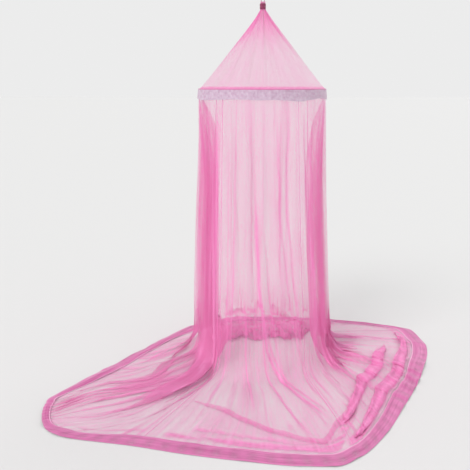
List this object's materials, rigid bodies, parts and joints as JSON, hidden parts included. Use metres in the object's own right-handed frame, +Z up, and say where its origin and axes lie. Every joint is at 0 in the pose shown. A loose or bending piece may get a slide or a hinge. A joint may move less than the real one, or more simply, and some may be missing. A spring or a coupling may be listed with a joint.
{
  "type": "mosquito net canopy with hoop",
  "caption": "Round sheer net canopy hung from one point over a wire hoop, its long folded skirt trailing on the floor.",
  "frame": {"origin": "where a hook bears on the top of the hanging loop's eye", "axes": "+Z straight up along the line it hangs on, -Y towards the front with the widest spread of skirt, +X to the right seen from the front"},
  "size_m": [1.9751, 1.588, 1.9112],
  "materials": {
    "net": "sheer pink polyester net with a fine open mesh",
    "border": "denser pink net doubled into a wide bottom border with a bright seam",
    "lace": "pale lilac lace frill with a scalloped edge",
    "wire": "steel wire coated in pale pink plastic",
    "tape": "dark magenta woven tape"
  },
  "bodies": {
    "root": {"hanging_loop": "tape", "crown_tie": "tape", "crown": "net", "hoop": "wire", "valance": "lace", "wall_left": "net", "wall_front": "net", "wall_right": "net", "wall_back": "net", "hem_border": "border"}
  },
  "joints": []
}
